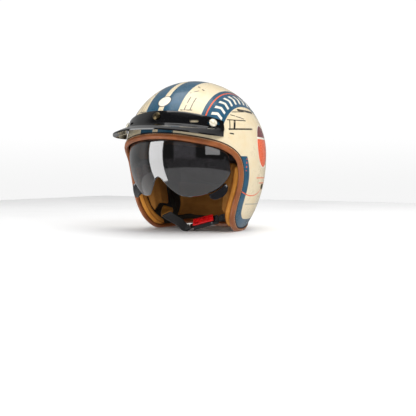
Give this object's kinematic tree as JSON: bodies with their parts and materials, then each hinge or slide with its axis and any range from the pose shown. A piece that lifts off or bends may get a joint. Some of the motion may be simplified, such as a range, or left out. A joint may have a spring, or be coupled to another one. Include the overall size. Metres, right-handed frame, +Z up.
{
  "type": "open face motorcycle helmet",
  "caption": "Open face motorcycle helmet with a flip-down smoke sun visor, a peak held by snaps, leather edge trim, suede pads and a quick-release chin strap.",
  "frame": {"origin": "Centre of the helmet's outline on the surface it stands on.", "axes": "+Z up, the face opening looks along -Y, and the wearer's left is +X."},
  "size_m": [0.2448, 0.3095, 0.2674],
  "materials": {
    "shell_paint": "satin clear coat over cream paint with blue and orange bands",
    "trim_leather": "smooth tan leather with stitching",
    "rubber_gasket": "matte black piping",
    "foam": "moulded black bead foam",
    "lining_cloth": "dark brown mesh cloth",
    "suede": "ochre suede",
    "grey_plastic": "grey moulded clip",
    "black_plastic": "moulded black nylon",
    "smoke_lens": "gloss smoke polycarbonate",
    "smoke_plastic": "dark smoke tab",
    "steel": "zinc plated",
    "nylon": "natural nylon",
    "gloss_black": "high gloss black",
    "bronze": "dark antique bronze",
    "pearl": "pearl cap",
    "tab_leather": "brown leather",
    "webbing": "woven black webbing",
    "red_plastic": "red moulded lever"
  },
  "bodies": {
    "helmet": {"outer_shell": "shell_paint", "edge_trim": "trim_leather", "edge_gasket": "rubber_gasket", "impact_liner": "foam", "cheek_foam_left": "foam", "cheek_foam_right": "foam", "crown_liner": "lining_cloth", "brow_pad": "suede", "brow_clip": "grey_plastic", "neck_roll": "lining_cloth", "cheek_pad_left": "lining_cloth", "cheek_pad_right": "lining_cloth", "cheek_roll_left": "suede", "cheek_roll_right": "suede", "pad_snaps_left": "black_plastic", "pad_snaps_right": "black_plastic", "visor_pivot_left": "steel", "visor_pivot_right": "steel", "visor_bushes": "nylon", "visor_clips": "steel", "peak": "gloss_black", "peak_cap_centre": "bronze", "peak_caps_side": "pearl", "peak_studs": "steel", "goggle_tab_base": "tab_leather", "goggle_tab_stud": "steel", "goggle_tab_rivets": "bronze", "strap_webbing_left": "webbing", "strap_webbing_right": "webbing", "strap_sleeve_left": "suede", "strap_sleeve_right": "suede", "strap_anchors": "steel", "strap_rivets": "bronze", "buckle_housing": "black_plastic", "buckle_pin": "steel", "buckle_spring": "steel"},
    "visor": {"sun_visor_lens": "smoke_lens", "visor_tab_left": "smoke_plastic", "visor_tab_right": "smoke_plastic", "visor_arm_left": "black_plastic", "visor_arm_right": "black_plastic", "visor_rivets": "black_plastic"},
    "lever": {"buckle_lever": "red_plastic"},
    "tongue": {"buckle_tongue": "black_plastic"},
    "flap": {"goggle_tab_flap": "tab_leather", "goggle_tab_cap": "pearl"}
  },
  "joints": [
    {"name": "visor_swing", "type": "hinge", "parent": "helmet", "child": "visor", "pos_m": [0, 0.01025, 0.135], "axis": [-1, 0, 0], "range_deg": [0, 46]},
    {"name": "lever_lift", "type": "hinge", "parent": "helmet", "child": "lever", "pos_m": [0.04435, -0.00683, 0.02053], "axis": [-0.4839, 0.7582, 0.4371], "range_deg": [0, 40], "stiffness_Nm_per_rad": 0.05, "springref_deg": -17.19},
    {"name": "tongue_slide", "type": "slide", "parent": "helmet", "child": "tongue", "axis": [-0.8746, -0.4023, -0.2706], "range_m": [0, 0.008]},
    {"name": "flap_open", "type": "hinge", "parent": "helmet", "child": "flap", "pos_m": [0, 0.14427, 0.05979], "axis": [1, 0, 0], "range_deg": [0, 100]}
  ]
}
